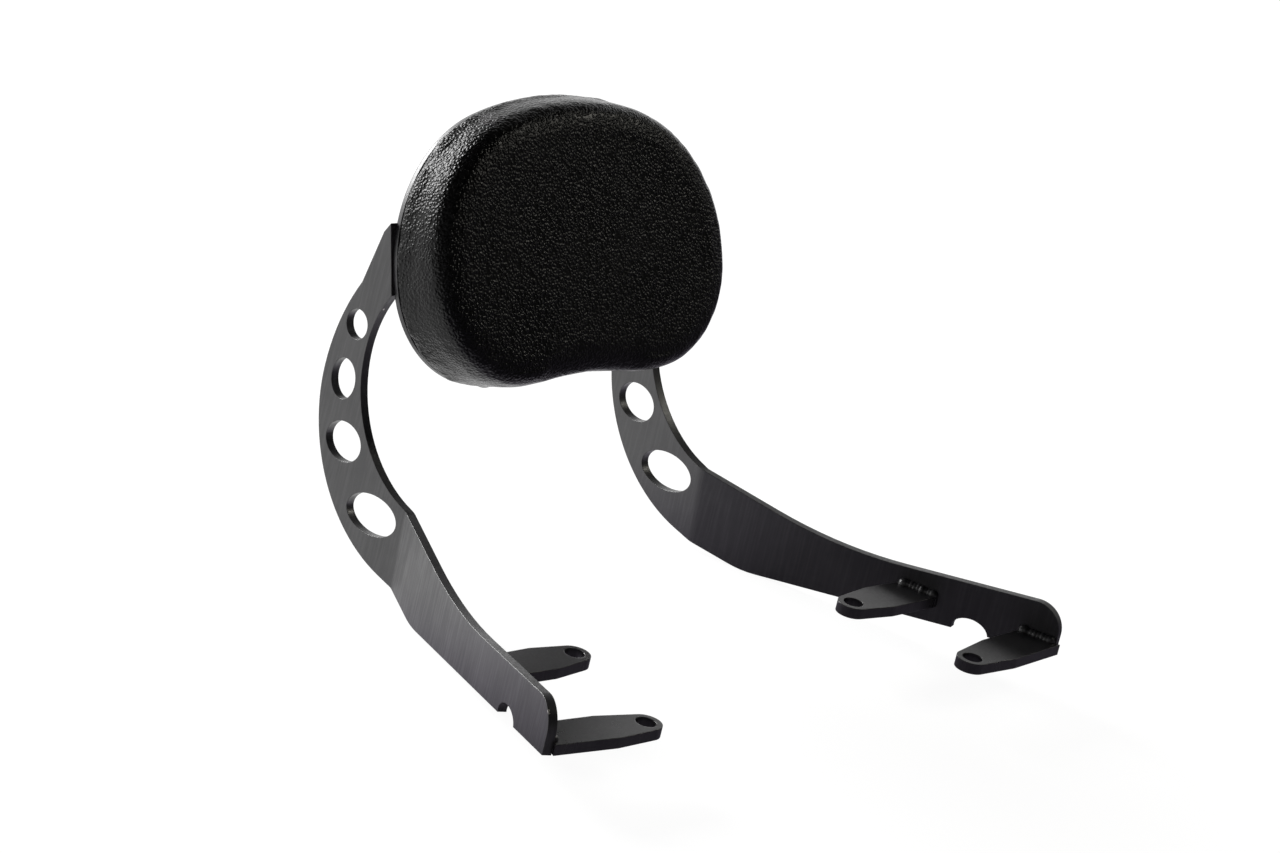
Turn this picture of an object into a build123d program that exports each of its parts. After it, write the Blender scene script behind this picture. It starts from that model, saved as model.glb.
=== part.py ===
from build123d import *
from math import cos, radians, sin, tan
import os

os.makedirs("parts", exist_ok=True)

# Passenger backrest for a motorcycle. Two bent side plates carry a padded D-shaped back.
# Millimetres. +Z is up, -Y is the riding direction and +X is the rider's right.
# The origin lies midway between the two front bolt holes, in the plane the four tabs sit on.

# Mounting tabs
FRONT_PITCH = 245.0        # between the two front holes
REAR_PITCH = 209.0         # between the two rear holes
HOLE_STEP = 74.0           # from the front pair back to the rear pair
HOLE_R = 5.5               # clearance for an M10 bolt
TAB_T = 6.0
TAB_TIP_R = 8.7            # round end about the hole
TAB_W = 24.0
TAB_TAPER_AT = 0.41        # the sides draw in over this share of the way from the hole to the root
FRONT_TAB_AT = 9.6         # middle of the front tab's root, along the side plate
REAR_TAB_AT = 83.0

# Side plates, laid out flat: u runs rearwards from the front end, v runs up
SIDE_T = 5.0
SPLAY = 21.2               # each plate's angle to the midplane, and the bend that ends it
FRONT_OVERHANG = 2.3       # from the front holes forward to the front end
PLATE_DROP = 1.0           # front lower corner below the tabs' underside
FRONT_H = 27.9             # height of the front end, before its corner is rounded
FRONT_CORNER_R = 15.0
DIP_U, DIP_V = 134.6, 11.6         # lowest place of the top edge, before it is rounded
DIP_R = 280.0
BEND_FOOT_U, BEND_FOOT_V = 219.5, -16.3
BEND_SLANT = 4.6           # the bend line leans rearwards at its top
BEND_R = 8.0               # radius on the hollow side
BEND_STEPS = 6             # flats that make up the bend
KEEL_AHEAD = 33.5          # lowest corner of the plate, ahead of the bend's foot
KEEL_V = -22.1
KEEL_R = 60.0
NOTCH_U = 49.2             # middle of the scallop in the bottom edge
NOTCH_W = 21.7
NOTCH_RISE = 7.5

# Arm: the part of the side plate behind the bend. The hollow front edge's centre is
# measured from the bend's foot, and the places below it from that centre
HOLLOW_U, HOLLOW_V = -6.9, 111.3
HOLLOW_R = 69.4
HOLLOW_END = 45.0          # the hollow edge runs on to this angle, under the back plate
ARM_W = 20.8               # least width, from the hollow front edge to the heel's curve
HEEL_BACK, HEEL_DOWN = 6.2, 20.7   # centre of the heel's curve
HEEL_SLOPE = 8.7           # rise of the bottom edge behind the lowest corner, degrees
CROWN_R = 118.6            # upper rear curve
CROWN_RISE = 53.0
TIP_BACK, TIP_UP = 73.5, 70.1      # top corner, on the back plate's rear face
SHOULDER_BACK, SHOULDER_UP = 76.9, 64.0

# Lightening holes: angle about the hollow's centre, distance behind the front edge,
# half length, half width and tilt of the long way
LIGHTENING_HOLES = (
    (6.8, 11.3, 8.25, 8.25, 0.0),
    (-15.3, 14.0, 11.2, 9.4, 84.0),
    (-37.9, 18.2, 14.0, 10.8, -5.0),
    (-66.3, 19.7, 19.7, 10.9, -8.0),
)

# Back plate and pad, in the plane of the back: x across, y up the slope, z forward
LEAN = 20.0
TIP_HEIGHT = 43.0          # arm tip above the pad's centre, up the slope
BACK_T = 3.0
BACK_RIM = 0.8             # the steel stands this far outside the cover
ARM_PROUD = 0.7            # the arms' outer faces stand this far outside the steel
PAD_W = 213.6
PAD_TOP = 103.0            # centre to crown
PAD_FOOT = 47.0            # centre to the lowest line
PAD_HOLLOW = 3.4           # the bottom edge curves up this much in its middle
CROWN_ARC_R = 175.0
CORNER_R = 59.5
SIDE_STRAIGHT = 6.3
PAD_T = 36.2               # thickness at the centre
PAD_TAPER = 5.0            # the pad thins towards its crown, degrees
PAD_EDGE_R = 15.0
COVER_T = 1.2
COVER_HEM = 2.0            # chamfer where the cover turns in behind the board
EDGE_BANDS = 3             # bands that make up the rolled edge
FLAP_W = 20.0              # cover folded in behind the board
BOARD_T = 6.0
SOFT_GAP = 0.3             # foam and board to the cover's curved wall

# Fasteners of the pad: M6 bolts into T-nuts
BOLT_SPAN = 120.0
BOLT_Y = 18.0
BOLT_R = 3.0
BOLT_L = 16.0
BOLT_HOLE_R = 3.3
HEAD_FLATS = 10.0
HEAD_H = 4.0
HEAD_CHAMFER = 0.7
WASHER_R = 9.0
WASHER_T = 1.6
SPRING_R = 5.9
SPRING_T = 1.6
SPRING_SLIT = 1.5
SPRING_CUT = 30.0          # slant of the slit, degrees
NUT_CLEARANCE = 0.05       # thread fit, all round
NUT_BARREL_R = 4.0
NUT_BARREL_L = 5.0
NUT_FLANGE_R = 8.5
NUT_FLANGE_T = 1.2
POCKET_GAP = 0.5           # foam to the nut and the bolt's end
STAPLES = 18
STAPLE_W = 10.0
STAPLE_WIRE = 0.6
STAPLE_LEG = 5.0

# Weld beads
BEAD_R = 3.2
BEAD_PITCH = 4.4
BEAD_VALLEY = 0.78         # radius between two ripples, as a share of the bead's
ARM_BEAD_R = 2.6
ARM_BEAD_L = 24.0
ARM_BEAD_DOWN = 8.0        # upper end of the weld below the arm's tip


def arc(centre, start, end):
    """The shorter arc about a centre."""
    radius = (start - centre).length
    middle = centre + ((start + end) * 0.5 - centre).normalized() * radius
    return ThreePointArc(start, middle, end)


def on_circle(centre, radius, degrees):
    """Point of a circle, with the angle counted from +X towards +Y."""
    return centre + Vector(cos(radians(degrees)), sin(radians(degrees))) * radius


def save(node, shape):
    export_step(shape, f"parts/{node}.step")


# Directions of the bend, in the flat plate
along_bend = Vector(sin(radians(BEND_SLANT)), cos(radians(BEND_SLANT)))
across_bend = Vector(along_bend.Y, -along_bend.X)
outward = Vector(0, 0, 1)
bend_foot = Vector(BEND_FOOT_U, BEND_FOOT_V)
bend_axis = Axis(bend_foot, along_bend)
BEND_BACK_R = BEND_R + SIDE_T
setback = BEND_BACK_R * tan(radians(SPLAY / 2))


def flat_outline():
    """Developed side plate: laser-cut outline with its lightening holes."""
    hollow = bend_foot + Vector(HOLLOW_U, HOLLOW_V)
    heel = hollow + Vector(HEEL_BACK, -HEEL_DOWN)
    heel_r = HOLLOW_R + ARM_W
    dip = Vector(DIP_U, DIP_V)
    to_centre = hollow - dip
    tangent = (to_centre.length**2 - HOLLOW_R**2) ** 0.5
    # The top edge runs from the dip along a tangent of the arm's hollow front edge
    swing = Vector(tangent, -HOLLOW_R).normalized()
    ahead = to_centre.normalized()
    edge_dir = Vector(
        ahead.X * swing.X - ahead.Y * swing.Y, ahead.X * swing.Y + ahead.Y * swing.X
    )
    arm_start = dip + edge_dir * tangent
    arm_end = on_circle(hollow, HOLLOW_R, HOLLOW_END)
    heel_start = on_circle(heel, heel_r, HEEL_SLOPE - 90)
    heel_end = heel + Vector(heel_r, 0)
    crown_centre = heel_end - Vector(CROWN_R, 0)
    crown_end = crown_centre + Vector((CROWN_R**2 - CROWN_RISE**2) ** 0.5, CROWN_RISE)
    tip = hollow + Vector(TIP_BACK, TIP_UP)
    shoulder = hollow + Vector(SHOULDER_BACK, SHOULDER_UP)
    keel = Vector(BEND_FOOT_U - KEEL_AHEAD, KEEL_V)
    corner = Vector(0, FRONT_H)
    # Steel in front of the tip is left on here and trimmed to the back plate later
    over_tip = Vector(arm_end.X, tip.Y + (tip.X - arm_end.X) / 2)
    edges = Polyline(arm_start, dip, corner, Vector(0, 0), keel, heel_start)
    edges += arc(heel, heel_start, heel_end)
    edges += arc(crown_centre, heel_end, crown_end)
    edges += Polyline(crown_end, shoulder, tip, over_tip, arm_end)
    edges += arc(hollow, arm_end, arm_start)
    face = make_face(edges)
    for place, radius in ((corner, FRONT_CORNER_R), (dip, DIP_R), (keel, KEEL_R)):
        nearest = face.vertices().sort_by_distance(place)[0]
        face = fillet(nearest, radius)
    face -= Pos(NOTCH_U, NOTCH_U * keel.Y / keel.X) * Ellipse(NOTCH_W / 2, NOTCH_RISE)
    for angle, behind, half_l, half_w, tilt in LIGHTENING_HOLES:
        middle = on_circle(hollow, HOLLOW_R + behind, angle)
        face -= Pos(middle) * Rot(0, 0, tilt) * Ellipse(half_l, half_w)
    return face


def cut_span(piece, side):
    """Lowest and highest place of a piece's cut face along the bend line."""
    cut = piece.faces().sort_by(Axis(bend_foot, across_bend))[side]
    places = [(vertex.center() - bend_foot).dot(along_bend) for vertex in cut.vertices()]
    return min(places), max(places)


def bend_section(low, high, turn):
    """Section through the bent strip, after it has turned so far about the bend."""
    centre = bend_foot - across_bend * setback + outward * BEND_BACK_R
    spoke = across_bend * sin(radians(turn)) - outward * cos(radians(turn))
    inner = centre + spoke * BEND_BACK_R
    outer = centre + spoke * BEND_R
    corners = (
        inner + along_bend * low,
        inner + along_bend * high,
        outer + along_bend * high,
        outer + along_bend * low,
    )
    return make_face(Polyline(*corners, close=True))


def bent_side():
    """Side plate in its own frame: u, v and outward, with the arm bent straight back."""
    flat = extrude(flat_outline(), SIDE_T)
    front_cut = Plane(bend_foot - across_bend * setback, x_dir=outward, z_dir=across_bend)
    rear_cut = Plane(bend_foot + across_bend * setback, x_dir=outward, z_dir=across_bend)
    rail = split(flat, bisect_by=front_cut, keep=Keep.BOTTOM)
    arm = split(flat, bisect_by=rear_cut, keep=Keep.TOP)
    low_0, high_0 = cut_span(rail, -1)
    low_1, high_1 = cut_span(arm, 0)
    sections = []
    for step in range(BEND_STEPS + 1):
        share = step / BEND_STEPS
        low = low_0 + (low_1 - low_0) * share
        high = high_0 + (high_1 - high_0) * share
        sections.append(bend_section(low, high, SPLAY * share))
    return rail + loft(sections, ruled=True) + arm.rotate(bend_axis, -SPLAY)


# The pair is spread so that the arms' tips reach the back plate's sides
rail_dir = Vector(-sin(radians(SPLAY)), cos(radians(SPLAY)), 0)
rail_out = Vector(cos(radians(SPLAY)), sin(radians(SPLAY)), 0)
upright = Plane((0, 0, 0), x_dir=rail_dir, z_dir=rail_out)
tip_from_bend = Vector(HOLLOW_U + TIP_BACK, HOLLOW_V + TIP_UP, SIDE_T)
tip_turned = bend_foot + tip_from_bend.rotate(Axis((0, 0, 0), along_bend), -SPLAY)
tip_reach = upright.from_local_coords(tip_turned)
arm_half_w = PAD_W / 2 + BACK_RIM + ARM_PROUD
side_origin = Vector(arm_half_w - tip_reach.X, -FRONT_OVERHANG, -PLATE_DROP)
side_frame = Plane(side_origin, x_dir=rail_dir, z_dir=rail_out)

# Plane of the back: on the back plate's front face, at the pad's centre
slope_up = Vector(0, sin(radians(LEAN)), cos(radians(LEAN)))
slope_out = Vector(0, -cos(radians(LEAN)), sin(radians(LEAN)))
tip = side_origin + tip_reach
back_origin = Vector(0, tip.Y, tip.Z) - slope_up * TIP_HEIGHT + slope_out * BACK_T
back_frame = Plane(back_origin, x_dir=(1, 0, 0), z_dir=slope_out)


def pad_face(inset):
    """Outline of the pad, drawn in from its edge by an even amount."""
    half = PAD_W / 2
    crown = Vector(0, PAD_TOP - CROWN_ARC_R)
    corner = Vector(half - CORNER_R, CORNER_R - PAD_FOOT)
    side_y = corner.Y + SIDE_STRAIGHT
    drop = side_y - crown.Y
    shoulder_r = (CROWN_ARC_R**2 - half**2 - drop**2) / (2 * (CROWN_ARC_R - half))
    shoulder = Vector(half - shoulder_r, side_y)
    middle_y = PAD_HOLLOW - PAD_FOOT
    rise = corner.Y - middle_y
    hollow_r = (corner.X**2 + rise**2 - CORNER_R**2) / (2 * PAD_HOLLOW)
    hollow = Vector(0, middle_y - hollow_r)
    top = Vector(0, PAD_TOP - inset)
    crown_end = crown + (shoulder - crown).normalized() * (CROWN_ARC_R - inset)
    side_top = Vector(half - inset, side_y)
    side_foot = Vector(half - inset, corner.Y)
    corner_end = corner + (hollow - corner).normalized() * (CORNER_R - inset)
    foot = Vector(0, middle_y + inset)
    right = arc(crown, top, crown_end)
    right += arc(shoulder, crown_end, side_top)
    right += Line(side_top, side_foot)
    right += arc(corner, side_foot, corner_end)
    right += arc(hollow, corner_end, foot)
    return make_face(right + mirror(right, about=Plane.YZ))


def slab(inset, low, high):
    """Pad outline as a slab between two distances in front of the back plate."""
    return Pos(0, 0, low) * extrude(pad_face(inset), high - low)


def pillow(inset, low, high, edge_r):
    """Slab with a leaning front whose edge is rolled over in narrow bands."""
    rings = [Pos(0, 0, low) * pad_face(inset)]
    for step in range(EDGE_BANDS + 1):
        turn = radians(90) * step / EDGE_BANDS
        rolled = pad_face(inset + edge_r * (1 - cos(turn)))
        front = Pos(0, 0, high - edge_r * (1 - sin(turn)))
        rings.append(front * Rot(-PAD_TAPER, 0, 0) * rolled)
    return loft(rings, ruled=True)


def rod(radius, low, high):
    return Pos(0, 0, low) * extrude(Circle(radius), high - low)


def at_bolts(shape):
    """The same piece at both bolts."""
    return [Pos(side * BOLT_SPAN / 2, BOLT_Y) * shape for side in (-1, 1)]


def cut_all(shape, tools):
    for tool in tools:
        shape = shape - tool
    return shape


def in_back(shape):
    """Carries a piece from the plane of the back to its place."""
    return back_frame.location * shape


# Side plates: 5 mm steel, cut, bent and trimmed to the back plate
pad_space = in_back(slab(-2 * SIDE_T, -BACK_T, PAD_T + SIDE_T))
side_right = side_frame.location * bent_side() - pad_space
save("side_plate_right", side_right)
save("side_plate_left", mirror(side_right, about=Plane.YZ))


def tab(hole_x, hole_y, root_at):
    """Tongue from the side plate's inner face, drawn in to a round end about its hole."""
    hole = Vector(hole_x, hole_y)
    root = side_origin + rail_dir * root_at
    root = Vector(root.X, root.Y)
    line = Edge.make_line(root - rail_dir * TAB_W / 2, root + rail_dir * TAB_W / 2)
    broad = Edge.make_circle(TAB_W / 2, Plane(hole + (root - hole) * TAB_TAPER_AT))
    tongue = make_hull([line, broad, Edge.make_circle(TAB_TIP_R, Plane(hole))])
    return extrude(tongue - Pos(hole) * Circle(HOLE_R), TAB_T)


def bead(start, end, side, radius):
    """Rippled fillet along the corner between two walls, which swells at every ripple."""
    ripples = max(2, round((end - start).length / BEAD_PITCH))
    other = (end - start).cross(side).normalized()
    sections = []
    for half in range(2 * ripples + 1):
        corner = start + (end - start) * (half / ripples / 2)
        swell = radius if half % 2 else radius * BEAD_VALLEY
        ring = [corner] + [
            corner + (side * cos(radians(turn)) + other * sin(radians(turn))) * swell
            for turn in (0, 45, 90)
        ]
        sections.append(make_face(Polyline(*ring, close=True)))
    return loft(sections, ruled=True)


front_tab = tab(FRONT_PITCH / 2, 0, FRONT_TAB_AT)
rear_tab = tab(REAR_PITCH / 2, HOLE_STEP, REAR_TAB_AT)
tab_top = Vector(0, 0, PLATE_DROP + TAB_T)
for place, piece, root_at in (("front", front_tab, FRONT_TAB_AT), ("rear", rear_tab, REAR_TAB_AT)):
    root = side_origin + rail_dir * root_at + tab_top
    reach = rail_dir * (TAB_W / 2 - BEAD_R)
    weld = bead(root - reach, root + reach, -rail_out, BEAD_R)
    save(f"{place}_tab_right", piece)
    save(f"{place}_tab_left", mirror(piece, about=Plane.YZ))
    save(f"{place}_tab_weld_right", weld)
    save(f"{place}_tab_weld_left", mirror(weld, about=Plane.YZ))

# Back plate: 3 mm steel, butted against the arms' front edges and welded on their inner side
bolt_holes = at_bolts(rod(BOLT_HOLE_R, -BACK_T, 0))
back_plate = in_back(cut_all(slab(-BACK_RIM, -BACK_T, 0), bolt_holes))
save("back_plate", back_plate)

# The arm leans a little, so its weld follows the corner between its inner face and the plate
arm_out = upright.from_local_coords(outward.rotate(Axis((0, 0, 0), along_bend), -SPLAY))
corner_down = arm_out.cross(slope_out).normalized()
plate_inward = corner_down.cross(slope_out)
inner_corner = tip - plate_inward * (SIDE_T / arm_out.dot(plate_inward))
bead_start = inner_corner + corner_down * ARM_BEAD_DOWN
bead_end = bead_start + corner_down * ARM_BEAD_L
arm_weld = bead(bead_start, bead_end, plate_inward, ARM_BEAD_R) - side_right
save("arm_weld_right", arm_weld)
save("arm_weld_left", mirror(arm_weld, about=Plane.YZ))

# Staples: wire crowns sunk in the cover's flap, legs driven into the board
staple_line = pad_face(FLAP_W / 2).wire()
staple = Pos(0, 0, STAPLE_WIRE / 2) * Box(STAPLE_W, STAPLE_WIRE, STAPLE_WIRE)
for end in (-1, 1):
    leg_x = end * (STAPLE_W - STAPLE_WIRE) / 2
    staple += Pos(leg_x, 0, STAPLE_LEG / 2) * Box(STAPLE_WIRE, STAPLE_WIRE, STAPLE_LEG)
staples = []
for number in range(STAPLES):
    share = (number + 0.5) / STAPLES
    turn = Vector(1, 0, 0).get_signed_angle(staple_line.tangent_at(share), Vector(0, 0, 1))
    staples.append(Pos(staple_line.position_at(share)) * Rot(0, 0, turn) * staple)

# Pad: plywood board, moulded foam and a stretched cover folded in behind the board
board_front = COVER_T + BOARD_T
wall = COVER_T + SOFT_GAP
board = slab(wall, COVER_T, board_front)
board = cut_all(board, at_bolts(rod(NUT_BARREL_R, COVER_T, board_front)))
board = cut_all(board, staples)
save("pad_base_board", in_back(board))

bolt_low = -BACK_T - WASHER_T - SPRING_T
bolt_end = bolt_low + BOLT_L
nut_pocket = rod(NUT_FLANGE_R + POCKET_GAP, board_front, bolt_end + POCKET_GAP)
foam = pillow(wall, board_front, PAD_T - COVER_T, PAD_EDGE_R - wall)
save("pad_foam", in_back(cut_all(foam, at_bolts(nut_pocket))))

cover = pillow(0, 0, PAD_T, PAD_EDGE_R)
hem = cover.faces().sort_by(Axis.Z)[0].edges()
cover = chamfer(hem, COVER_HEM)
cover -= pillow(COVER_T, COVER_T, PAD_T - COVER_T, PAD_EDGE_R - COVER_T)
cover -= slab(FLAP_W, 0, COVER_T)
save("pad_cover", in_back(cut_all(cover, staples)))
save("cover_staples", in_back(Compound(staples)))

# T-nuts in the board, bolts with spring and flat washers through the back plate
nut = rod(NUT_BARREL_R, board_front - NUT_BARREL_L, board_front)
nut += rod(NUT_FLANGE_R, board_front, board_front + NUT_FLANGE_T)
nut -= rod(BOLT_R + NUT_CLEARANCE, 0, PAD_T)
save("t_nuts", in_back(Compound(at_bolts(nut))))

flat_washer = rod(WASHER_R, -BACK_T - WASHER_T, -BACK_T) - rod(BOLT_HOLE_R, bolt_low, 0)
save("flat_washers", in_back(Compound(at_bolts(flat_washer))))

spring_washer = rod(SPRING_R, bolt_low, bolt_low + SPRING_T) - rod(BOLT_HOLE_R, bolt_low, 0)
slit_z = bolt_low + SPRING_T / 2
slit = Pos(SPRING_R, 0, slit_z) * Rot(SPRING_CUT, 0, 0) * Box(2 * SPRING_R, SPRING_SLIT, 4 * SPRING_T)
save("spring_washers", in_back(Compound(at_bolts(spring_washer - slit))))

head_r = HEAD_FLATS / 2 / cos(radians(30))
head_envelope = rod(head_r, bolt_low - HEAD_H, bolt_low)
head_back = head_envelope.faces().sort_by(Axis.Z)[0].edges()
head = Pos(0, 0, bolt_low - HEAD_H) * extrude(RegularPolygon(head_r, 6), HEAD_H)
head = head & chamfer(head_back, HEAD_CHAMFER)
bolt = head + rod(BOLT_R, bolt_low, bolt_end)
save("pad_bolts", in_back(Compound(at_bolts(bolt))))
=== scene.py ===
import math
import random

import bpy
from mathutils import Matrix, Vector, noise


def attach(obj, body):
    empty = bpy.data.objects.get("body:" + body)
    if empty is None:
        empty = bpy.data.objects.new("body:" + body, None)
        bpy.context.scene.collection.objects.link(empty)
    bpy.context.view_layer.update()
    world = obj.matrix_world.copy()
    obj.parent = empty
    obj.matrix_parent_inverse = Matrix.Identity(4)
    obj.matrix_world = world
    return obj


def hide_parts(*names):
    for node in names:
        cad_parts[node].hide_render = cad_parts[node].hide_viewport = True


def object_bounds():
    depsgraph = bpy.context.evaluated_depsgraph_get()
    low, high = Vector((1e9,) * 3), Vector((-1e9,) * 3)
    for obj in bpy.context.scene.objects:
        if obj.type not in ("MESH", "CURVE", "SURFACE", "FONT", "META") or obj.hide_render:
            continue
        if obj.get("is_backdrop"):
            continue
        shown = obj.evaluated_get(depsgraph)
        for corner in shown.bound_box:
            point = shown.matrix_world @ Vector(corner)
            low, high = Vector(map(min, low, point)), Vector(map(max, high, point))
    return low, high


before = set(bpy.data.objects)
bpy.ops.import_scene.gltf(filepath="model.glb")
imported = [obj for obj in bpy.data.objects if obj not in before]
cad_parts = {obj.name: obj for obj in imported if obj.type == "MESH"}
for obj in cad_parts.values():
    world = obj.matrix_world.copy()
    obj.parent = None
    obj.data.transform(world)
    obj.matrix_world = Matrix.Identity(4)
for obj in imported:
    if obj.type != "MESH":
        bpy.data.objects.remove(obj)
cad_low, cad_high = (list(corner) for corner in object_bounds())
bpy.ops.object.select_all(action="DESELECT")

# Side plates
# Two 5 mm steel plates, cut to outline with four lightening holes and bent once. They are powder coated
# satin black all over, with upright rub marks, small pits darkened with painted shade, rubbed edges and a
# few chips down to bare metal.
MM = 0.001
COAT_BLACK = (0.0056, 0.0050, 0.0066, 1)
COAT_RUBBED = (0.034, 0.033, 0.035, 1)
COAT_SHINE = 0.8
RUB_POLISH = 0.16
COAT_EDGE = (0.085, 0.083, 0.080, 1)
BARE_STEEL = (0.52, 0.50, 0.47, 1)
RUB_WIDTH = 620.0
RUB_STRETCH = 0.05
MOTTLE_SCALE = 26.0
PEEL_SCALE = 1500.0
PEEL_DEPTH = 0.03 * MM
PIT_SCALE = 62.0
PIT_RADIUS = 0.035
PIT_SHARE = 0.80
PIT_DEPTH = 0.4 * MM
PIT_PAINTED_SHADE = (0.002, 0.002, 0.002, 1)
EDGE_ROUND = 0.7 * MM
EDGE_PATCHES = 190.0
CHIP_RAGGED = 900.0
CHIP_LEAST = 0.4
# Each chip's place and size in millimetres
PLATE_CHIPS_RIGHT = (
    (103.3, 199.1, 30.1, 1.3),
    (111.6, 194.4, 25.6, 1.1),
    (112.5, 192.0, 25.1, 1.4),
    (113.8, 188.8, 24.3, 1.7),
    (127.9, 152.3, 18.6, 1.2),
    (178.6, 21.6, 26.0, 2.0),
    (186.4, 1.2, 21.5, 1.3),
)
PLATE_CHIPS_LEFT = (
    (-152.8, 101.6, 16.6, 1.9),
    (-154.1, 98.2, 17.2, 2.4),
    (-155.4, 95.0, 17.7, 2.6),
    (-156.3, 92.6, 18.1, 1.9),
    (-191.0, 3.6, 21.0, 1.6),
    (-108.3, 260.1, 118.9, 1.0),
)


def new_group(name, inputs, outputs):
    """Empty node group with named sockets, and its two ends."""
    group = bpy.data.node_groups.new(name, "ShaderNodeTree")
    for direction, sockets in (("INPUT", inputs), ("OUTPUT", outputs)):
        for label, kind in sockets:
            group.interface.new_socket(label, in_out=direction, socket_type="NodeSocket" + kind)
    return group, group.nodes.new("NodeGroupInput"), group.nodes.new("NodeGroupOutput")


def fill(tree, socket, value):
    if isinstance(value, bpy.types.NodeSocket):
        tree.links.new(value, socket)
    else:
        socket.default_value = value


def put(tree, kind, options=None, **sockets):
    """Adds a shader node, sets its options and fills its sockets with values or links."""
    node = tree.nodes.new("ShaderNode" + kind)
    for option, value in (options or {}).items():
        setattr(node, option, value)
    for label, value in sockets.items():
        fill(tree, node.inputs[label.replace("_", " ")], value)
    return node


def maths(tree, operation, *values):
    node = tree.nodes.new("ShaderNodeMath")
    node.operation = operation
    for socket, value in zip(node.inputs, values):
        fill(tree, socket, value)
    return node.outputs[0]


def smooth_step(tree, value, start, end, low=0.0, high=1.0):
    """Eases from low to high while value goes from start to end."""
    node = put(
        tree,
        "MapRange",
        {"interpolation_type": "SMOOTHSTEP"},
        Value=value,
        From_Min=start,
        From_Max=end,
        To_Min=low,
        To_Max=high,
    )
    return node.outputs["Result"]


def stretched(tree, place, stretch):
    """Coordinates squeezed along an axis, so that a pattern on them runs that way."""
    return put(tree, "Mapping", Vector=place, Scale=stretch).outputs[0]


def blend_colours(tree, share, first, second):
    node = put(tree, "Mix", {"data_type": "RGBA"})
    fill(tree, node.inputs["Factor"], share)
    fill(tree, node.inputs[6], first)
    fill(tree, node.inputs[7], second)
    return node.outputs[2]


def new_material(name):
    """Material with its tree, its Principled shader and its Object coordinates."""
    material = bpy.data.materials.new(name)
    material.use_nodes = True
    tree = material.node_tree
    return material, tree, tree.nodes["Principled BSDF"], put(tree, "TexCoord").outputs["Object"]


def use_group(tree, group, **sockets):
    node = tree.nodes.new("ShaderNodeGroup")
    node.node_tree = group
    for label, value in sockets.items():
        fill(tree, node.inputs[label.replace("_", " ")], value)
    return node


def rubbed_edges():
    """Mask of the arrises, found where the rounded normal leaves the face's own."""
    outputs = (("Mask", "Float"), ("Normal", "Vector"))
    group, starts, ends = new_group("rubbed_edges", (("Place", "Vector"),), outputs)
    rounded = put(group, "Bevel", {"samples": 8}, Radius=EDGE_ROUND)
    face = put(group, "NewGeometry")
    facing = put(group, "VectorMath", {"operation": "DOT_PRODUCT"})
    group.links.new(rounded.outputs[0], facing.inputs[0])
    group.links.new(face.outputs["Normal"], facing.inputs[1])
    patches = put(group, "TexNoise", Vector=starts.outputs["Place"], Scale=EDGE_PATCHES, Detail=3.0)
    worn = smooth_step(group, patches.outputs[0], 0.42, 0.64)
    arris = smooth_step(group, facing.outputs["Value"], 0.995, 0.86)
    group.links.new(maths(group, "MULTIPLY", arris, worn), ends.inputs["Mask"])
    group.links.new(rounded.outputs[0], ends.inputs["Normal"])
    return group


def coat_surface():
    """Colour mask and relief of powder coat on rolled plate: rubs, mottle, orange peel and pits."""
    outputs = (("Rub", "Float"), ("Pit", "Float"), ("Height", "Float"))
    group, starts, ends = new_group("coat_surface", (("Place", "Vector"), ("Rubbing", "Float")), outputs)
    place = starts.outputs["Place"]
    upright = stretched(group, place, (1.0, 1.0, RUB_STRETCH))
    fine = put(group, "TexNoise", Vector=upright, Scale=RUB_WIDTH, Detail=3.0)
    broad = put(group, "TexNoise", Vector=place, Scale=MOTTLE_SCALE, Detail=4.0, Roughness=0.6)
    streak = smooth_step(group, fine.outputs[0], 0.40, 0.72)
    patch = smooth_step(group, broad.outputs[0], 0.34, 0.68)
    rub = maths(group, "MULTIPLY_ADD", streak, 0.55, maths(group, "MULTIPLY", patch, 0.45))
    group.links.new(maths(group, "MULTIPLY", rub, starts.outputs["Rubbing"]), ends.inputs["Rub"])
    cells = put(group, "TexVoronoi", Vector=place, Scale=PIT_SCALE)
    kept = put(group, "SeparateColor", Color=cells.outputs["Color"])
    chosen = maths(group, "GREATER_THAN", kept.outputs[0], PIT_SHARE)
    dot = smooth_step(group, cells.outputs["Distance"], PIT_RADIUS, PIT_RADIUS * 0.55)
    pit = maths(group, "MULTIPLY", dot, chosen)
    group.links.new(pit, ends.inputs["Pit"])
    peel = put(group, "TexNoise", Vector=place, Scale=PEEL_SCALE, Detail=2.0)
    relief = maths(group, "MULTIPLY", peel.outputs[0], PEEL_DEPTH)
    sunk = maths(group, "MULTIPLY", pit, -PIT_DEPTH)
    group.links.new(maths(group, "ADD", relief, sunk), ends.inputs["Height"])
    return group


def chipped():
    """Mask of one ragged chip about a place."""
    inputs = (("Place", "Vector"), ("Centre", "Vector"), ("Size", "Float"))
    group, starts, ends = new_group("chipped", inputs, (("Mask", "Float"),))
    apart = put(group, "VectorMath", {"operation": "DISTANCE"})
    group.links.new(starts.outputs["Place"], apart.inputs[0])
    group.links.new(starts.outputs["Centre"], apart.inputs[1])
    ragged = put(group, "TexNoise", Vector=starts.outputs["Place"], Scale=CHIP_RAGGED, Detail=3.0)
    share = smooth_step(group, ragged.outputs[0], 0.3, 0.7, CHIP_LEAST)
    reach = maths(group, "MULTIPLY", starts.outputs["Size"], share)
    group.links.new(maths(group, "LESS_THAN", apart.outputs["Value"], reach), ends.inputs["Mask"])
    return group


EDGE_GROUP = rubbed_edges()
COAT_GROUP = coat_surface()
CHIP_GROUP = chipped()


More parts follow.
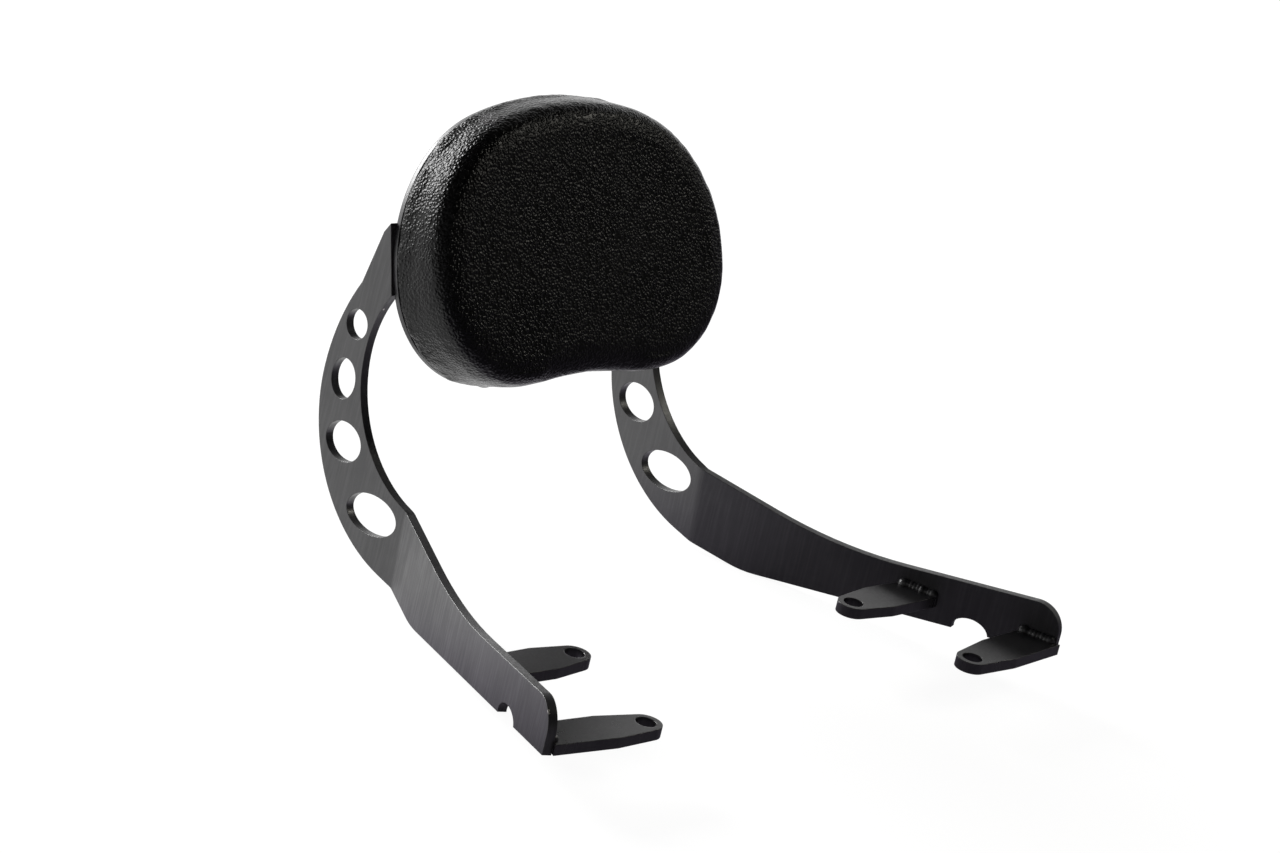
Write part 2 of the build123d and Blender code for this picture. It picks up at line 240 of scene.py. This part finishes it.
def powder_coat(name, rubbing, roughness, chips=()):
    """Satin black coat. Chips are places in millimetres with their size."""
    material, tree, shader, place = new_material(name)
    coat = use_group(tree, COAT_GROUP, Place=place, Rubbing=rubbing)
    edge = use_group(tree, EDGE_GROUP, Place=place)
    bare = None
    for x, y, z, size in chips:
        centre = (x * MM, y * MM, z * MM)
        chip = use_group(tree, CHIP_GROUP, Place=place, Centre=centre, Size=size * MM).outputs[0]
        bare = chip if bare is None else maths(tree, "MAXIMUM", bare, chip)
    colour = blend_colours(tree, coat.outputs["Rub"], COAT_BLACK, COAT_RUBBED)
    colour = blend_colours(tree, edge.outputs["Mask"], colour, COAT_EDGE)
    # The pits are painted darker than the coat around them: painted shade inside each pit, over their sunk
    # relief.
    colour = blend_colours(tree, coat.outputs["Pit"], colour, PIT_PAINTED_SHADE)
    if bare is not None:
        colour = blend_colours(tree, bare, colour, BARE_STEEL)
        tree.links.new(bare, shader.inputs["Metallic"])
    tree.links.new(colour, shader.inputs["Base Color"])
    gloss = maths(tree, "MULTIPLY_ADD", coat.outputs["Rub"], -RUB_POLISH, roughness)
    tree.links.new(gloss, shader.inputs["Roughness"])
    shader.inputs["Specular IOR Level"].default_value = COAT_SHINE
    relief = put(tree, "Bump", Height=coat.outputs["Height"], Normal=edge.outputs["Normal"])
    relief.inputs["Distance"].default_value = 1.0
    tree.links.new(relief.outputs[0], shader.inputs["Normal"])
    return material


def dress(node, material):
    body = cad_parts[node]
    body.data.materials.clear()
    body.data.materials.append(material)


dress("side_plate_right", powder_coat("plate_coat_right", 0.8, 0.46, PLATE_CHIPS_RIGHT))
dress("side_plate_left", powder_coat("plate_coat_left", 1.0, 0.46, PLATE_CHIPS_LEFT))

# Mounting tabs
# Four 6 mm steel tongues with an 11 mm hole, sawn and filed round at the end, welded to the side plates
# and coated with them.
tab_coat = powder_coat("tab_coat", 0.5, 0.34)
for place in ("front", "rear"):
    for side in ("left", "right"):
        dress(f"{place}_tab_{side}", tab_coat)

# Back plate
# 3 mm steel cut to the pad's outline, butted against the arms' front edges and welded there from behind.
dress("back_plate", powder_coat("back_plate_coat", 0.7, 0.44))

# Welds
# Beads laid by hand in overlapping drops, one along the top of each tab and one down the back of each
# arm, left as welded under the coat. The first drop of each is the largest.
SPLAY = math.radians(21.2)
LEAN = math.radians(20.0)
PLATE_START = Vector((188.021, -2.3, 6.0)) * MM
RAIL = Vector((-math.sin(SPLAY), math.cos(SPLAY), 0))
RAIL_OUT = Vector((math.cos(SPLAY), math.sin(SPLAY), 0))
BACK_UP = Vector((0, math.sin(LEAN), math.cos(LEAN)))
BACK_OUT = Vector((0, -math.cos(LEAN), math.sin(LEAN)))
# Rear and front end of each tab's bead, along the side plate
TAB_BEADS = {"front": (19.0 * MM, 3.6 * MM), "rear": (91.8 * MM, 74.2 * MM)}
TAB_BEAD_R = 3.3 * MM
ARM_BEAD_TOP = Vector((103.3, 265.2, 157.0)) * MM
ARM_BEAD_L = 24.0 * MM
ARM_BEAD_R = 2.9 * MM
DROP_STEP = 2.3 * MM
DROP_VARIES = (0.94, 1.05)
DROP_WANDER = 0.1
DROP_FLAT = 0.70
FIRST_DROP = 1.14
END_DROP_FLAT = 0.95
BEAD_VOXEL = 0.32 * MM
BEAD_SUNK = 0.2 * MM
BEAD_SMOOTH_ANGLE = math.radians(60)
ARM_BEAD_SEED = 10


def weld_bead(name, node, start, along, side, up, length, radius, seed):
    """Overlapping drops down a corner, fused, with what lies inside the two walls cut away."""
    rng = random.Random(seed)
    drops = round(length / DROP_STEP)
    bpy.ops.object.select_all(action="DESELECT")
    for number in range(drops + 1):
        size = radius * rng.uniform(*DROP_VARIES)
        if number == 0:
            size *= FIRST_DROP
        aside = [rng.uniform(-DROP_WANDER, DROP_WANDER) * radius for _ in range(2)]
        here = (number * length / drops, *aside)
        bpy.ops.mesh.primitive_uv_sphere_add(segments=24, ring_count=14, radius=size, location=here)
        drop = bpy.context.object
        drop.scale.x = DROP_FLAT if 0 < number < drops else END_DROP_FLAT
        drop.select_set(True)
        if number == 0:
            bead = drop
        else:
            bead.select_set(True)
            bpy.context.view_layer.objects.active = bead
            bpy.ops.object.transform_apply(location=True, rotation=True, scale=True)
            bpy.ops.object.join()
    bpy.ops.object.transform_apply(location=True, rotation=True, scale=True)
    bead.name = name
    bead.data.name = name
    bead.data.remesh_voxel_size = BEAD_VOXEL
    bpy.ops.object.voxel_remesh()
    bpy.ops.object.mode_set(mode="EDIT")
    bpy.ops.mesh.select_all(action="SELECT")
    bpy.ops.mesh.vertices_smooth(factor=0.5, repeat=2)
    for normal in ((0, 1, 0), (0, 0, 1)):
        bpy.ops.mesh.select_all(action="SELECT")
        sunk = Vector(normal) * -BEAD_SUNK
        bpy.ops.mesh.bisect(plane_co=sunk, plane_no=normal, use_fill=True, clear_inner=True)
    bpy.ops.object.mode_set(mode="OBJECT")
    bpy.ops.object.shade_smooth_by_angle(angle=BEAD_SMOOTH_ANGLE)
    turned = Matrix((along, side, up)).transposed().to_4x4()
    bead.data.transform(Matrix.Translation(start) @ turned)
    if turned.determinant() < 0:
        bead.data.flip_normals()
    bead.data.materials.append(weld_coat)
    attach(bead, "root")
    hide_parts(node)


def mirrored(vector):
    """The same place or direction on the left side."""
    return Vector((-vector.x, vector.y, vector.z))


weld_coat = powder_coat("weld_coat", 0.3, 0.38)
for number, (place, (rear_end, front_end)) in enumerate(TAB_BEADS.items()):
    start = PLATE_START + RAIL * rear_end
    for flip, side in ((False, "right"), (True, "left")):
        node = f"{place}_tab_weld_{side}"
        lines = [start, -RAIL, -RAIL_OUT, Vector((0, 0, 1))]
        if flip:
            lines = [mirrored(line) for line in lines]
        weld_bead(f"{node}_bead", node, *lines, rear_end - front_end, TAB_BEAD_R, number * 2 + flip)
for flip, side in ((False, "right"), (True, "left")):
    node = f"arm_weld_{side}"
    lines = [ARM_BEAD_TOP, -BACK_UP, Vector((-1, 0, 0)), -BACK_OUT]
    if flip:
        lines = [mirrored(line) for line in lines]
    weld_bead(f"{node}_bead", node, *lines, ARM_BEAD_L, ARM_BEAD_R, ARM_BEAD_SEED + flip)

# Pad core
# A plywood board behind a block of moulded foam. Both are hidden by the cover.
PLY_LIGHT = (0.60, 0.43, 0.26, 1)
PLY_DARK = (0.36, 0.22, 0.12, 1)
PLY_COUNT = 5000.0
FOAM_PALE = (0.74, 0.69, 0.55, 1)
FOAM_SHADE = (0.52, 0.47, 0.35, 1)
FOAM_CELLS = 900.0
GRAIN_DEPTH = 0.2 * MM
CELL_DEPTH = 0.4 * MM


def plywood():
    material, tree, shader, place = new_material("plywood")
    laid = put(tree, "Mapping", Vector=place, Rotation=(LEAN, 0.0, 0.0)).outputs[0]
    grain = put(tree, "TexNoise", Vector=stretched(tree, laid, (1.0, 40.0, 14.0)), Scale=60.0, Detail=6.0)
    parts = put(tree, "SeparateXYZ", Vector=laid)
    ply = maths(tree, "SINE", maths(tree, "MULTIPLY", parts.outputs["Y"], PLY_COUNT))
    shade = maths(tree, "MULTIPLY_ADD", smooth_step(tree, ply, -0.2, 0.6), 0.3, grain.outputs[0])
    tree.links.new(
        blend_colours(tree, smooth_step(tree, shade, 0.3, 0.95), PLY_DARK, PLY_LIGHT),
        shader.inputs["Base Color"],
    )
    shader.inputs["Roughness"].default_value = 0.72
    relief = put(tree, "Bump", Height=grain.outputs[0], Distance=GRAIN_DEPTH)
    tree.links.new(relief.outputs[0], shader.inputs["Normal"])
    return material


def moulded_foam():
    material, tree, shader, place = new_material("moulded_foam")
    cells = put(tree, "TexVoronoi", Vector=place, Scale=FOAM_CELLS).outputs["Distance"]
    yellowed = put(tree, "TexNoise", Vector=place, Scale=18.0, Detail=3.0).outputs[0]
    shade = maths(tree, "MULTIPLY_ADD", cells, 0.5, maths(tree, "MULTIPLY", yellowed, 0.6))
    tree.links.new(
        blend_colours(tree, smooth_step(tree, shade, 0.2, 0.8), FOAM_SHADE, FOAM_PALE),
        shader.inputs["Base Color"],
    )
    shader.inputs["Roughness"].default_value = 0.9
    relief = put(tree, "Bump", Height=cells, Distance=CELL_DEPTH)
    tree.links.new(relief.outputs[0], shader.inputs["Normal"])
    return material


dress("pad_base_board", plywood())
dress("pad_foam", moulded_foam())

# Pad cover
# Black glossy leatherette with a fine pebble, stretched over the foam without a seam and folded in behind
# the board. It is inflated as cloth from the cover's own outline, evened, filled out at its shoulder and
# hem, then puckered where it turns in.
SKIN_BLACK = (0.0012, 0.0012, 0.0012, 1)
SKIN_SCUFFED = (0.0030, 0.0028, 0.0026, 1)
SKIN_SHINE = 0.22
SKIN_ROUGHNESS = 0.27
SCUFF_SCALE = 22.0
SCUFF_DULLS = 0.05
PEBBLE_SCALE = 640.0
PEBBLE_DEPTH = 0.30 * MM
PEBBLE_WANDER = 1.4 * MM
WANDER_SCALE = 260.0
CREASE_SCALE = 300.0
CREASE_DEPTH = 0.20 * MM
PAD_PLACE = Vector((0.0, 250.436, 125.146)) * MM
PAD_VOXEL = 4.1 * MM
PAD_PRESSURE = 4.0
PAD_STIFFNESS = 15.0
PAD_BENDING = 4.0
PAD_MASS = 0.3
PAD_QUALITY = 6
PAD_FRAMES = 20
PAD_LEAST = 0.35 * MM
PAD_SWELL = 2.6 * MM
PAD_SHOULDER = 1.7 * MM
PAD_HEM = 2.7 * MM
PAD_EASE = 8
PAD_EASE_LAST = 2
PAD_HEART = 16.0 * MM
PAD_WALL = 30.0 * MM
PAD_FACES_BACK = -0.8
PINNED_DEPTH = 4.0 * MM
HEM_DEPTH = 13.0 * MM
PUCKER = 0.34 * MM
PUCKER_START = 0.5 * MM
PUCKER_SCALES = (140.0, 330.0)
PUCKER_STRETCH = 0.75
PUCKER_ABOVE_HEM = 0.35
# Place across and up, and height, in millimetres
FOLD_LUMPS = (
    (-74.4, 84.7, 1.5),
    (-48.6, 79.4, 1.9),
    (91.8, 82.0, 1.6),
    (-76.3, 205.5, 0.9),
    (-103.3, 182.4, 1.0),
)
LUMP_R = 5.0 * MM


def pebbled_skin():
    """Leatherette: shiny black with a bead-like pebble and finer creases between."""
    material, tree, shader, place = new_material("black_leatherette")
    bent = put(tree, "TexNoise", Vector=place, Scale=WANDER_SCALE, Detail=2.0)
    wander = put(tree, "VectorMath", {"operation": "MULTIPLY_ADD"})
    tree.links.new(bent.outputs["Color"], wander.inputs[0])
    wander.inputs[1].default_value = (PEBBLE_WANDER, PEBBLE_WANDER, PEBBLE_WANDER)
    tree.links.new(place, wander.inputs[2])
    pebbles = put(
        tree,
        "TexVoronoi",
        {"feature": "SMOOTH_F1"},
        Vector=wander.outputs[0],
        Scale=PEBBLE_SCALE,
        Smoothness=0.35,
    )
    rounded = smooth_step(tree, pebbles.outputs["Distance"], 0.75, 0.10)
    creases = put(
        tree,
        "TexNoise",
        Vector=stretched(tree, place, (1.0, 0.45, 1.0)),
        Scale=CREASE_SCALE,
        Detail=3.0,
        Roughness=0.6,
    )
    pebble_relief = maths(tree, "MULTIPLY", rounded, PEBBLE_DEPTH)
    relief = maths(tree, "MULTIPLY_ADD", creases.outputs[0], CREASE_DEPTH, pebble_relief)
    bump = put(tree, "Bump", Height=relief)
    bump.inputs["Distance"].default_value = 1.0
    tree.links.new(bump.outputs[0], shader.inputs["Normal"])
    handled = put(tree, "TexNoise", Vector=place, Scale=SCUFF_SCALE, Detail=4.0)
    scuff = smooth_step(tree, handled.outputs[0], 0.40, 0.72)
    tree.links.new(blend_colours(tree, scuff, SKIN_BLACK, SKIN_SCUFFED), shader.inputs["Base Color"])
    shader.inputs["Specular IOR Level"].default_value = SKIN_SHINE
    dullness = maths(tree, "MULTIPLY_ADD", scuff, SCUFF_DULLS, SKIN_ROUGHNESS)
    tree.links.new(dullness, shader.inputs["Roughness"])
    return material


def outer_skin(name, node):
    """Closed copy of a hollow cover: its inner wall is dropped and the gap behind is filled."""
    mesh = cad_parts[node].data.copy()
    skin = bpy.data.objects.new(name, mesh)
    bpy.context.scene.collection.objects.link(skin)
    bpy.ops.object.select_all(action="DESELECT")
    skin.select_set(True)
    bpy.context.view_layer.objects.active = skin
    bpy.ops.object.mode_set(mode="EDIT")
    bpy.ops.mesh.select_all(action="SELECT")
    bpy.ops.mesh.remove_doubles(threshold=0.01 * MM)
    bpy.ops.mesh.select_all(action="DESELECT")
    bpy.ops.object.mode_set(mode="OBJECT")
    heart = PAD_PLACE + BACK_OUT * PAD_HEART
    for face in mesh.polygons:
        face.select = face.normal.dot(face.center - heart) < 0
    bpy.ops.object.mode_set(mode="EDIT")
    bpy.ops.mesh.select_mode(type="FACE")
    bpy.ops.mesh.delete(type="FACE")
    bpy.ops.mesh.select_all(action="SELECT")
    bpy.ops.mesh.fill_holes(sides=0)
    bpy.ops.object.mode_set(mode="OBJECT")
    return skin


def depth_of(point):
    """Distance in front of the board's rear face."""
    return (point - PAD_PLACE).dot(BACK_OUT)


def eased(values, skin, rounds):
    """Values at the vertices, evened out along the edges."""
    near = [[] for _ in values]
    for edge in skin.data.edges:
        first, second = edge.vertices
        near[first].append(second)
        near[second].append(first)
    for _ in range(rounds):
        means = []
        for around in near:
            total = values[around[0]]
            for i in around[1:]:
                total = total + values[i]
            means.append(total / len(around))
        values = [(value + mean) * 0.5 for value, mean in zip(values, means)]
    return values


def inflate(skin):
    """Blows the skin up as cloth that is held along its hem, then caps and evens how far it moved."""
    rest = [vertex.co.copy() for vertex in skin.data.vertices]
    normals = [vertex.normal.copy() for vertex in skin.data.vertices]
    hem = skin.vertex_groups.new(name="hem")
    hem.add([i for i, point in enumerate(rest) if depth_of(point) < PINNED_DEPTH], 1.0, "REPLACE")
    cloth = skin.modifiers.new("cloth", "CLOTH")
    cloth.settings.quality = PAD_QUALITY
    cloth.settings.mass = PAD_MASS
    cloth.settings.tension_stiffness = PAD_STIFFNESS
    cloth.settings.compression_stiffness = PAD_STIFFNESS
    cloth.settings.bending_stiffness = PAD_BENDING
    cloth.settings.use_pressure = True
    cloth.settings.uniform_pressure_force = PAD_PRESSURE
    cloth.settings.vertex_group_mass = "hem"
    cloth.settings.effector_weights.gravity = 0
    for step in range(1, PAD_FRAMES + 1):
        bpy.context.scene.frame_set(step)
    bpy.ops.object.modifier_apply(modifier="cloth")
    bpy.context.scene.frame_set(1)
    lifts = []
    for vertex, start, normal in zip(skin.data.vertices, rest, normals):
        if normal.dot(BACK_OUT) < PAD_FACES_BACK:
            lifts.append(0.0)
        else:
            most = PAD_LEAST + PAD_SWELL * abs(normal.x)
            lifts.append(min(max((vertex.co - start).dot(normal), PAD_LEAST), most))
    shifts = []
    for normal, lift in zip(normals, eased(lifts, skin, PAD_EASE)):
        facing = normal.dot(BACK_OUT)
        rolled = 2.0 * max(0.0, facing) * math.sqrt(max(0.0, 1.0 - facing * facing))
        turned_in = min(1.0, max(0.0, -2.0 * facing))
        sideways = (normal - BACK_OUT * facing).normalized()
        shifts.append(normal * (lift + PAD_SHOULDER * rolled * rolled) + sideways * PAD_HEM * turned_in)
    for vertex, start, shift in zip(skin.data.vertices, rest, eased(shifts, skin, PAD_EASE_LAST)):
        vertex.co = start + shift


def pucker(skin):
    """Small gathers that run in from the hem, and the lumps of cloth folded under it."""
    lumps = [(Vector((x * MM, 0, z * MM)), height * MM) for x, z, height in FOLD_LUMPS]
    places = [vertex.co.copy() for vertex in skin.data.vertices]
    normals = [vertex.normal.copy() for vertex in skin.data.vertices]
    for vertex, point, normal in zip(skin.data.vertices, places, normals):
        depth = depth_of(point)
        if depth < PUCKER_START or depth > PAD_WALL:
            continue
        near_hem = max(0.0, 1.0 - depth / HEM_DEPTH)
        side = 1.0 - abs(normal.dot(BACK_OUT))
        across = point - BACK_OUT * (depth * PUCKER_STRETCH)
        broad, fine = (noise.noise(across * scale) for scale in PUCKER_SCALES)
        lift = PUCKER * side * (broad + 0.5 * fine) * (PUCKER_ABOVE_HEM + near_hem)
        for centre, height in lumps:
            apart = Vector((point.x - centre.x, 0, point.z - centre.z)).length / LUMP_R
            lift += height * math.exp(-apart * apart) * near_hem
        vertex.co = point + normal * lift


pad = outer_skin("backrest_pad", "pad_cover")
pad.data.remesh_voxel_size = PAD_VOXEL
bpy.ops.object.voxel_remesh()
inflate(pad)
rounding = pad.modifiers.new("rounding", "SUBSURF")
rounding.levels = 2
rounding.render_levels = 2
bpy.ops.object.modifier_apply(modifier="rounding")
pucker(pad)
bpy.ops.object.shade_smooth()
pad.data.materials.clear()
pad.data.materials.append(pebbled_skin())
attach(pad, "root")
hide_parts("pad_cover")

# Staples
# Galvanised wire staples that hold the folded cover to the back of the board.
ZINC = (0.62, 0.62, 0.60, 1)
ZINC_DULL = (0.38, 0.38, 0.37, 1)


def zinc_plate(name, roughness):
    """Bright plating with cloudy patches, rounded at the arrises."""
    material, tree, shader, place = new_material(name)
    cloud = put(tree, "TexNoise", Vector=place, Scale=240.0, Detail=4.0).outputs[0]
    dull = smooth_step(tree, cloud, 0.38, 0.68)
    tree.links.new(blend_colours(tree, dull, ZINC, ZINC_DULL), shader.inputs["Base Color"])
    tree.links.new(maths(tree, "MULTIPLY_ADD", dull, 0.2, roughness), shader.inputs["Roughness"])
    shader.inputs["Metallic"].default_value = 1.0
    edge = use_group(tree, EDGE_GROUP, Place=place)
    tree.links.new(edge.outputs["Normal"], shader.inputs["Normal"])
    return material


dress("cover_staples", zinc_plate("staple_wire", 0.38))

# Pad fasteners
# Two M6 hexagon bolts with spring and flat washers hold the pad to the back plate, in T-nuts pressed into
# the board. They are zinc plated.
plating = zinc_plate("zinc_plate", 0.26)
for node in ("pad_bolts", "spring_washers", "flat_washers", "t_nuts"):
    dress(node, plating)

# Studio
# A pale floor in a plain surround that is brightest low down behind the backrest. The floor as mirrored in
# the steel is a painted reflection: it glows darker and cooler towards the front. A large soft light hangs
# behind and above, a small warm one at the right front and a weak one at the left front.
FLOOR_SIZE = 12.0
FLOOR_GREY = (0.82, 0.82, 0.82, 1)
FLOOR_ROUGHNESS = 0.8
# How much of its own glow the floor shows to the camera, and how strong that is
FLOOR_WHITENED = 0.8
FLOOR_SEEN = 1.17
FLOOR_SLANT = -0.4
# Start and end of the fade towards the back, and the level at each
FLOOR_FADE = (0.09, 0.30, 0.13, 1.22)
FLOOR_COOL = (1.0, 0.90, 1.14, 1)
WHITE = (1, 1, 1, 1)
# Where the surround brightens towards the back, darkens to the ceiling and fades above the horizon
BACK_FADE = (-0.25, 0.75)
CEILING_FADE = (0.36, 0.62)
HORIZON_FADE = (0.05, 0.34)
FRONT_LEVEL = 0.05
BACK_LEVEL = 0.80
CEILING_LEVEL = 0.12
HORIZON_LEVEL = 2.2
WARM_WHITE = (1.0, 0.97, 0.88)
AIM = Vector((0, 0.25, 0.13))
bpy.ops.object.select_all(action="DESELECT")
bpy.ops.mesh.primitive_plane_add(size=FLOOR_SIZE, location=(0, 0, cad_low[2]))
floor = bpy.context.object
floor.name = "floor"
floor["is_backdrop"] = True
floor_paint, tree, shader, place = new_material("floor_paint")
shader.inputs["Base Color"].default_value = FLOOR_GREY
shader.inputs["Roughness"].default_value = FLOOR_ROUGHNESS
rays = put(tree, "LightPath")
mirrored_rays = maths(tree, "MAXIMUM", rays.outputs["Is Glossy Ray"], rays.outputs["Is Transmission Ray"])
seen = maths(tree, "MULTIPLY", rays.outputs["Is Camera Ray"], FLOOR_WHITENED)
glow = put(tree, "Emission")
paint = put(tree, "MixShader")
fill(tree, paint.inputs[0], maths(tree, "MAXIMUM", seen, mirrored_rays))
spot = put(tree, "SeparateXYZ", Vector=place)
# Painted reflection: mirrored rays see the floor glow brighter behind and darker, tinted cool, towards the
# front.
behind = maths(tree, "MULTIPLY_ADD", spot.outputs["X"], FLOOR_SLANT, spot.outputs["Y"])
tone = maths(tree, "MULTIPLY", smooth_step(tree, behind, *FLOOR_FADE), mirrored_rays)
level = maths(tree, "MULTIPLY_ADD", rays.outputs["Is Camera Ray"], FLOOR_SEEN, tone)
tree.links.new(level, glow.inputs["Strength"])
cooled = maths(tree, "MULTIPLY", smooth_step(tree, behind, FLOOR_FADE[1], FLOOR_FADE[0]), mirrored_rays)
tree.links.new(blend_colours(tree, cooled, WHITE, FLOOR_COOL), glow.inputs["Color"])
tree.links.new(shader.outputs[0], paint.inputs[1])
tree.links.new(glow.outputs[0], paint.inputs[2])
tree.links.new(paint.outputs[0], tree.nodes["Material Output"].inputs["Surface"])
floor.data.materials.append(floor_paint)

world = bpy.data.worlds.new("surround")
world.use_nodes = True
tree = world.node_tree
sky = tree.nodes["Background"]
around = put(tree, "SeparateXYZ", Vector=put(tree, "TexCoord").outputs["Generated"])
level = smooth_step(tree, around.outputs["Y"], *BACK_FADE, FRONT_LEVEL, BACK_LEVEL)
aloft = smooth_step(tree, around.outputs["Z"], *CEILING_FADE, 1.0, CEILING_LEVEL)
along = smooth_step(tree, around.outputs["Z"], *HORIZON_FADE, HORIZON_LEVEL, 1.0)
level = maths(tree, "MULTIPLY", maths(tree, "MULTIPLY", level, aloft), along)
tree.links.new(level, sky.inputs["Strength"])
sky.inputs["Color"].default_value = WHITE
bpy.context.scene.world = world


def softbox(name, place, width, height, power, colour=(1, 1, 1)):
    """Soft rectangular lamp turned to the backrest."""
    lamp = bpy.data.lights.new(name, "AREA")
    lamp.shape = "RECTANGLE"
    lamp.size = width
    lamp.size_y = height
    lamp.energy = power
    lamp.color = colour
    box = bpy.data.objects.new(name, lamp)
    turned = (place - AIM).to_track_quat("Z", "Y").to_matrix().to_4x4()
    box.matrix_world = Matrix.Translation(place) @ turned
    bpy.context.scene.collection.objects.link(box)


softbox("softbox_back", Vector((-0.42, 2.08, 0.98)), width=1.5, height=0.6, power=56.0)
softbox(
    "softbox_right",
    Vector((1.08, -0.42, 1.12)),
    width=0.6,
    height=0.3,
    power=3.8,
    colour=WARM_WHITE,
)
softbox("softbox_left", Vector((-1.6, -0.9, 1.4)), width=0.9, height=0.9, power=1.6)

# Camera
# It stands to the front left of the backrest and a little above it, and leans about 14 degrees sideways.
CAMERA_AZIMUTH = math.radians(-48.0)
CAMERA_HEIGHT_ANGLE = math.radians(20.873)
CAMERA_ROLL = math.radians(13.602)
CAMERA_PLACE = Vector((-1.85434, -1.50863, 1.03471))
CAMERA_LENS = 141.27
CAMERA_SENSOR = 36.0
CAMERA_REACH = 20.0

back = Vector(
    (
        math.sin(CAMERA_AZIMUTH) * math.cos(CAMERA_HEIGHT_ANGLE),
        -math.cos(CAMERA_AZIMUTH) * math.cos(CAMERA_HEIGHT_ANGLE),
        math.sin(CAMERA_HEIGHT_ANGLE),
    )
)
level = Vector((0, 0, 1)).cross(back).normalized()
upright = back.cross(level)
right = level * math.cos(CAMERA_ROLL) + upright * math.sin(CAMERA_ROLL)
up = upright * math.cos(CAMERA_ROLL) - level * math.sin(CAMERA_ROLL)
lens = bpy.data.cameras.new("camera")
lens.sensor_fit = "HORIZONTAL"
lens.sensor_width = CAMERA_SENSOR
lens.lens = CAMERA_LENS
lens.clip_end = CAMERA_REACH
camera = bpy.data.objects.new("camera", lens)
turned = Matrix((right, up, back)).transposed().to_4x4()
camera.matrix_world = Matrix.Translation(CAMERA_PLACE) @ turned
bpy.context.scene.collection.objects.link(camera)
bpy.context.scene.camera = camera
bpy.context.scene.view_settings.view_transform = "Standard"
